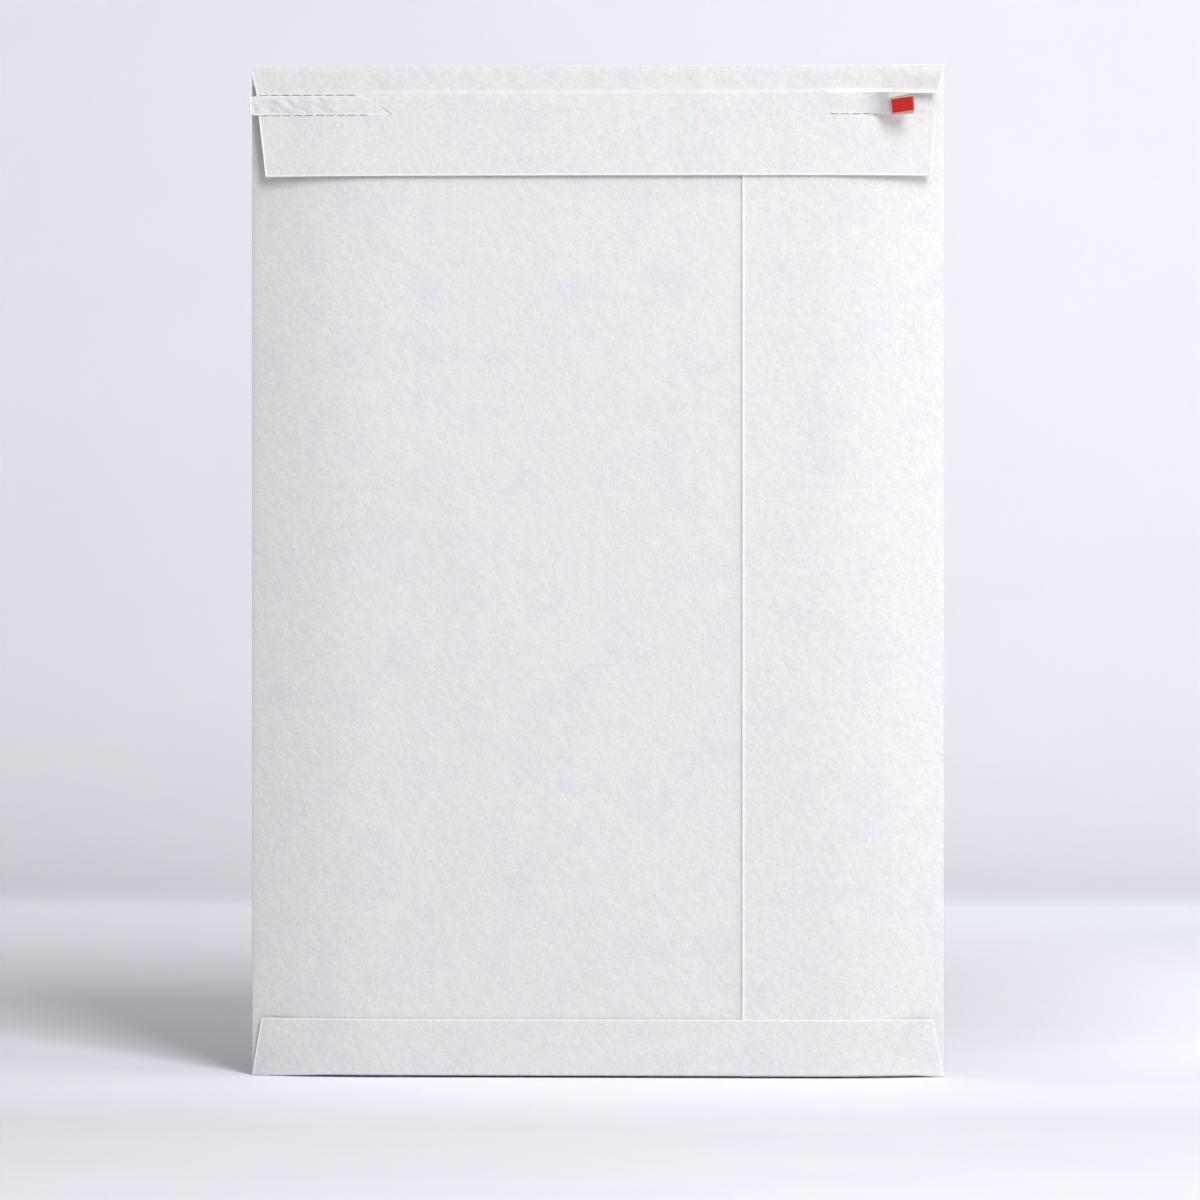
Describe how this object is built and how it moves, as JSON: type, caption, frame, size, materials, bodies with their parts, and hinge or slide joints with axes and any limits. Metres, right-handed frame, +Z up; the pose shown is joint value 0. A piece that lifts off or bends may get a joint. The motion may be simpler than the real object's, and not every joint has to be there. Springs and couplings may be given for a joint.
{
  "type": "pocket envelope",
  "caption": "White paper pocket envelope with a glued back seam and bottom flap, and a top flap with a tear strip whose pull tabs lift to show the tape behind it.",
  "frame": {"origin": "middle of the bottom fold's underside, where the envelope stands", "axes": "+Z up from the bottom fold to the top fold, +Y out of the plain address side, so the flap side faces -Y, and +X to the right of someone who looks at the flap side"},
  "size_m": [0.24, 0.0172, 0.35],
  "materials": {
    "envelope_paper": "uncoated white wove paper with a fine fibre mottle",
    "tear_tape": "red film, satin",
    "dried_glue": "thin dried glue",
    "seal_adhesive": "clear tacky film",
    "release_liner": "smooth coated liner paper"
  },
  "bodies": {
    "pocket": {"front_panel": "envelope_paper", "left_back_panel": "envelope_paper", "right_back_panel": "envelope_paper", "side_seam_glue": "dried_glue", "bottom_fold": "envelope_paper", "bottom_flap": "envelope_paper", "bottom_flap_glue": "dried_glue"},
    "top_fold": {"top_fold": "envelope_paper"},
    "flap": {"flap_upper_band": "envelope_paper", "flap_lower_band": "envelope_paper", "seal_adhesive": "seal_adhesive"},
    "release_liner": {"release_liner": "release_liner"},
    "tear_strip": {"tear_strip": "envelope_paper", "tear_tape": "tear_tape"},
    "left_tab": {"left_tab": "envelope_paper", "left_tab_tape": "tear_tape"},
    "right_tab": {"right_tab": "envelope_paper", "right_tab_tape": "tear_tape"},
    "pull_end": {"pull_end": "envelope_paper", "pull_end_tape": "tear_tape"}
  },
  "joints": [
    {"name": "top_fold_hinge", "type": "hinge", "parent": "pocket", "child": "top_fold", "pos_m": [0, 0.00415, 0.35], "axis": [-1, 0, 0], "range_deg": [0, 90]},
    {"name": "flap_hinge", "type": "hinge", "parent": "top_fold", "child": "flap", "pos_m": [0, -0.0043, 0.35], "axis": [-1, 0, 0], "range_deg": [0, 90]},
    {"name": "liner_peel", "type": "slide", "parent": "flap", "child": "release_liner", "axis": [0, 0, -1], "range_m": [0, 0.025]},
    {"name": "strip_tear", "type": "slide", "parent": "flap", "child": "tear_strip", "axis": [0, -1, 0], "range_m": [0, 0.06]},
    {"name": "left_tab_lift", "type": "hinge", "parent": "tear_strip", "child": "left_tab", "pos_m": [-0.0705, -0.00445, 0.3365], "axis": [0, 0, 1], "range_deg": [0, 150]},
    {"name": "right_tab_lift", "type": "hinge", "parent": "tear_strip", "child": "right_tab", "pos_m": [0.0874, -0.00445, 0.3365], "axis": [0, 0, -1], "range_deg": [-19.8, 130]},
    {"name": "pull_end_unfold", "type": "hinge", "parent": "right_tab", "child": "pull_end", "pos_m": [0.1096, -0.01244, 0.3365], "axis": [-0.0574, 0.0207, 0.9981], "range_deg": [0, 172]}
  ],
  "couplings": [
    {"joint": "top_fold_hinge", "follows": "flap_hinge", "ratio": 1}
  ]
}
